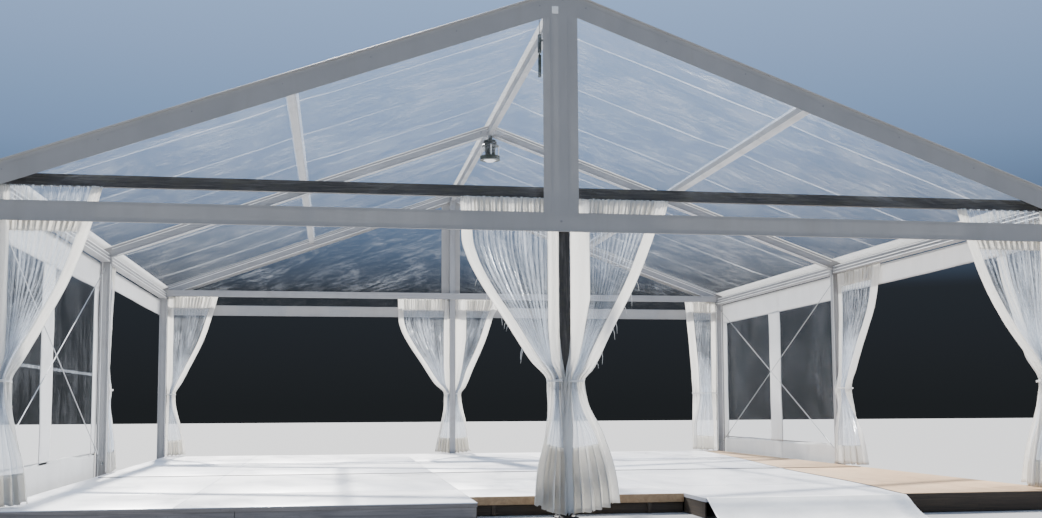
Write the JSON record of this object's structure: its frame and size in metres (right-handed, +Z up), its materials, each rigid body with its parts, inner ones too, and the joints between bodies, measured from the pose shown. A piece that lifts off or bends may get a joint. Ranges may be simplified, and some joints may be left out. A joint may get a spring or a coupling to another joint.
{
  "type": "marquee tent",
  "caption": "Clear-roofed frame marquee with portal frames, gathered clear curtains at the doorways and a raised white floor.",
  "frame": {"origin": "middle of the tent at ground level, under the middle frame's ridge", "axes": "+Z up, +X to the right across the span seen from the front gable, +Y along the ridge from the front gable to the rear one"},
  "size_m": [10.26, 10.9903, 4.8963],
  "materials": {
    "aluminium": "satin",
    "dark_bar": "matte",
    "white_pvc": "satin",
    "clear_pvc": "gloss",
    "white_floor": "satin",
    "timber": "matte",
    "plywood": "matte",
    "steel_wire": "satin",
    "lamp_black": "matte",
    "opal": "matte"
  },
  "bodies": {
    "root": {"front_apron_sheet": "white_pvc", "front_centre_left_curtain": "clear_pvc", "front_centre_right_curtain": "clear_pvc", "front_corner_left_curtain": "clear_pvc", "front_corner_right_curtain": "clear_pvc", "front_eaves_bar": "dark_bar", "front_floor_deck": "white_floor", "front_gable_post": "aluminium", "front_gable_sheet": "white_pvc", "front_left_eaves_purlin": "aluminium", "front_left_falling_wire": "steel_wire", "front_left_leg": "aluminium", "front_left_rafter": "aluminium", "front_left_rising_wire": "steel_wire", "front_left_slope_purlin": "aluminium", "front_left_wall": "clear_pvc", "front_ridge_purlin": "aluminium", "front_right_eaves_purlin": "aluminium", "front_right_leg": "aluminium", "front_right_rafter": "aluminium", "front_right_side_curtain": "clear_pvc", "front_right_slope_purlin": "aluminium", "front_right_valance": "white_pvc", "front_roof_sheet": "clear_pvc", "lamp_diffuser": "opal", "lamp_housing": "lamp_black", "left_floor_bearer": "timber", "middle_floor_bearer": "timber", "middle_left_leg": "aluminium", "middle_left_rafter": "aluminium", "middle_left_side_curtain": "clear_pvc", "middle_right_leg": "aluminium", "middle_right_rafter": "aluminium", "middle_right_side_curtain": "clear_pvc", "ply_edge_deck": "plywood", "rear_centre_left_curtain": "clear_pvc", "rear_centre_right_curtain": "clear_pvc", "rear_corner_left_curtain": "clear_pvc", "rear_corner_right_curtain": "clear_pvc", "rear_eaves_bar": "aluminium", "rear_floor_deck": "white_floor", "rear_gable_post": "aluminium", "rear_gable_sheet": "white_pvc", "rear_left_eaves_purlin": "aluminium", "rear_left_leg": "aluminium", "rear_left_rafter": "aluminium", "rear_left_slope_purlin": "aluminium", "rear_left_valance": "white_pvc", "rear_ridge_purlin": "aluminium", "rear_right_eaves_purlin": "aluminium", "rear_right_falling_wire": "steel_wire", "rear_right_leg": "aluminium", "rear_right_rafter": "aluminium", "rear_right_rising_wire": "steel_wire", "rear_right_slope_purlin": "aluminium", "rear_right_wall": "clear_pvc", "rear_roof_sheet": "clear_pvc", "ridge_strap": "lamp_black", "right_floor_bearer": "timber"}
  },
  "joints": []
}
